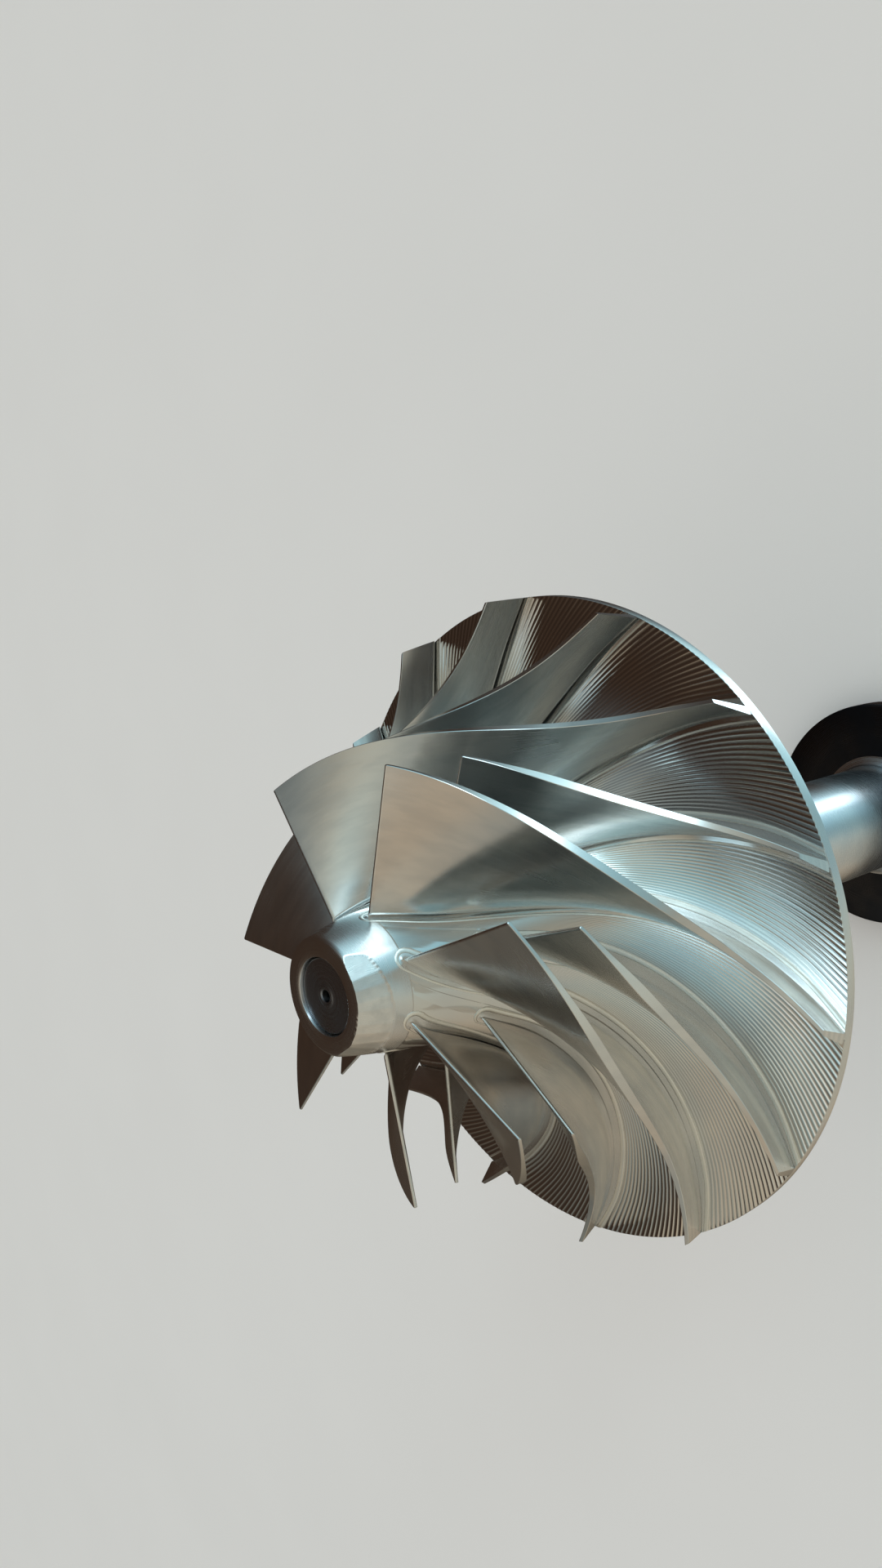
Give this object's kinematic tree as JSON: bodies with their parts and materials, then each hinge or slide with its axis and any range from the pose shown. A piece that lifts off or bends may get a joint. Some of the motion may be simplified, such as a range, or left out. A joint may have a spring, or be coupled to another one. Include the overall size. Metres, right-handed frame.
{
  "type": "centrifugal compressor impeller",
  "caption": "Semi-open centrifugal compressor impeller with backswept main and splitter blades on a flared hub, mounted on its stepped shaft with a round collar.",
  "frame": {"origin": "on the shaft axis, in the plane of the collar's flat underside that the part stands on", "axes": "+Z along the shaft axis, from the collar towards the impeller's nose; +X through the trailing edge root of the first main blade"},
  "size_m": [0.18, 0.18, 0.26],
  "materials": {
    "milled_steel": "bright 5-axis milled, with fine cutter marks along the flow surfaces",
    "turned_steel": "bright, fine turned and ground",
    "dark_steel": "dark, smooth, satin"
  },
  "bodies": {
    "root": {"impeller_hub": "milled_steel", "shaft": "turned_steel", "shaft_collar": "dark_steel", "main_blade_1": "milled_steel", "splitter_blade_1": "milled_steel", "main_blade_2": "milled_steel", "splitter_blade_2": "milled_steel", "main_blade_3": "milled_steel", "splitter_blade_3": "milled_steel", "main_blade_4": "milled_steel", "splitter_blade_4": "milled_steel", "main_blade_5": "milled_steel", "splitter_blade_5": "milled_steel", "main_blade_6": "milled_steel", "splitter_blade_6": "milled_steel", "main_blade_7": "milled_steel", "splitter_blade_7": "milled_steel"}
  },
  "joints": []
}
